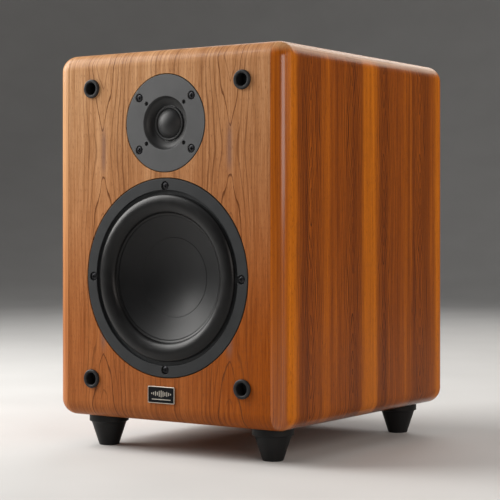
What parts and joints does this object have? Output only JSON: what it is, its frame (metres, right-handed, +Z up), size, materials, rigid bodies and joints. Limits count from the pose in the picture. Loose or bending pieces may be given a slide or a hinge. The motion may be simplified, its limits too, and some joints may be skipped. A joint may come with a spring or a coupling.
{
  "type": "bookshelf speaker",
  "caption": "Two-way ported bookshelf loudspeaker: veneered cabinet with rounded edges, woofer, dome tweeter, grille sockets, rear port, binding posts and tapered rubber feet.",
  "frame": {"origin": "middle of the cabinet's footprint, at the height of the surface the feet stand on", "axes": "+X to the right seen from the front, +Y from the front baffle to the rear panel, +Z up"},
  "size_m": [0.304, 0.362, 0.435],
  "materials": {
    "veneer": "satin lacquered wood veneer",
    "fibreboard": "raw fibreboard",
    "felt": "loose polyester wadding",
    "socket_rubber": "satin",
    "silver_trim": "brushed",
    "badge_black": "gloss",
    "cast_frame": "fine powder coat",
    "gasket_foam": "matt foam",
    "surround_rubber": "satin",
    "cone": "satin",
    "copper": "enamelled wire",
    "spider_cloth": "resin-treated cloth",
    "motor_steel": "zinc plated",
    "ferrite": "matt sintered",
    "black_steel": "black zinc",
    "faceplate": "matt grey",
    "dome_silk": "coated silk",
    "black_plastic": "fine texture",
    "post_brass": "gold plated",
    "red_plastic": "tinted clear",
    "foot_rubber": "satin",
    "circuit_board": "solder mask",
    "capacitor_film": "wrapped film",
    "lead_insulation": "soft insulation"
  },
  "bodies": {
    "cabinet": {"front_baffle": "veneer", "rear_panel": "veneer", "side_panel_left": "veneer", "side_panel_right": "veneer", "top_panel": "veneer", "bottom_panel": "veneer", "shelf_brace": "fibreboard", "damping_pad_left": "felt", "damping_pad_right": "felt", "grille_socket_upper_left": "socket_rubber", "grille_socket_upper_right": "socket_rubber", "grille_socket_lower_left": "socket_rubber", "grille_socket_lower_right": "socket_rubber", "badge_frame": "silver_trim", "badge_plate": "badge_black", "woofer_basket": "cast_frame", "woofer_gasket": "gasket_foam", "woofer_surround": "surround_rubber", "woofer_spider": "spider_cloth", "woofer_top_plate": "motor_steel", "woofer_magnet": "ferrite", "woofer_yoke": "motor_steel", "woofer_screw_top": "black_steel", "woofer_screw_right": "black_steel", "woofer_screw_bottom": "black_steel", "woofer_screw_left": "black_steel", "tweeter_faceplate": "faceplate", "tweeter_suspension": "dome_silk", "tweeter_top_plate": "motor_steel", "tweeter_magnet": "ferrite", "tweeter_yoke": "motor_steel", "tweeter_rear_chamber": "black_plastic", "tweeter_screw_upper_left": "black_steel", "tweeter_screw_upper_right": "black_steel", "tweeter_screw_lower_left": "black_steel", "tweeter_screw_lower_right": "black_steel", "port_tube": "black_plastic", "terminal_cup": "black_plastic", "post_stud_red": "post_brass", "post_stud_black": "post_brass", "foot_front_left": "foot_rubber", "foot_front_right": "foot_rubber", "foot_rear_left": "foot_rubber", "foot_rear_right": "foot_rubber", "crossover_board": "circuit_board", "crossover_inductor_large": "copper", "crossover_inductor_small": "copper", "crossover_capacitor": "capacitor_film", "input_lead": "lead_insulation", "woofer_lead": "lead_insulation", "tweeter_lead": "lead_insulation"},
    "woofer_diaphragm": {"woofer_cone": "cone", "woofer_dust_cap": "cone", "woofer_voice_coil": "copper"},
    "tweeter_diaphragm": {"tweeter_dome": "dome_silk", "tweeter_voice_coil": "copper"},
    "clamp_washer_red": {"post_washer_red": "post_brass"},
    "clamp_knob_red": {"post_knob_red": "red_plastic"},
    "clamp_washer_black": {"post_washer_black": "post_brass"},
    "clamp_knob_black": {"post_knob_black": "black_plastic"}
  },
  "joints": [
    {"name": "woofer_excursion", "type": "slide", "parent": "cabinet", "child": "woofer_diaphragm", "axis": [0, -1, 0], "range_m": [-0.006, 0.006], "stiffness_N_per_m": 1200, "deforming": ["woofer_surround", "woofer_spider"]},
    {"name": "tweeter_excursion", "type": "slide", "parent": "cabinet", "child": "tweeter_diaphragm", "axis": [0, -1, 0], "range_m": [-0.0005, 0.0005], "stiffness_N_per_m": 500, "deforming": ["tweeter_suspension"]},
    {"name": "post_lift_red", "type": "slide", "parent": "cabinet", "child": "clamp_washer_red", "axis": [0, 1, 0], "range_m": [0, 0.006]},
    {"name": "post_turn_red", "type": "hinge", "parent": "clamp_washer_red", "child": "clamp_knob_red", "pos_m": [-0.0095, 0.166, 0.11], "axis": [0, 1, 0], "range_deg": [0, 2160]},
    {"name": "post_lift_black", "type": "slide", "parent": "cabinet", "child": "clamp_washer_black", "axis": [0, 1, 0], "range_m": [0, 0.006]},
    {"name": "post_turn_black", "type": "hinge", "parent": "clamp_washer_black", "child": "clamp_knob_black", "pos_m": [0.0095, 0.166, 0.11], "axis": [0, 1, 0], "range_deg": [0, 2160]}
  ],
  "couplings": [
    {"joint": "post_turn_red", "follows": "post_lift_red", "rad_per_m": 6283},
    {"joint": "post_turn_black", "follows": "post_lift_black", "rad_per_m": 6283}
  ]
}
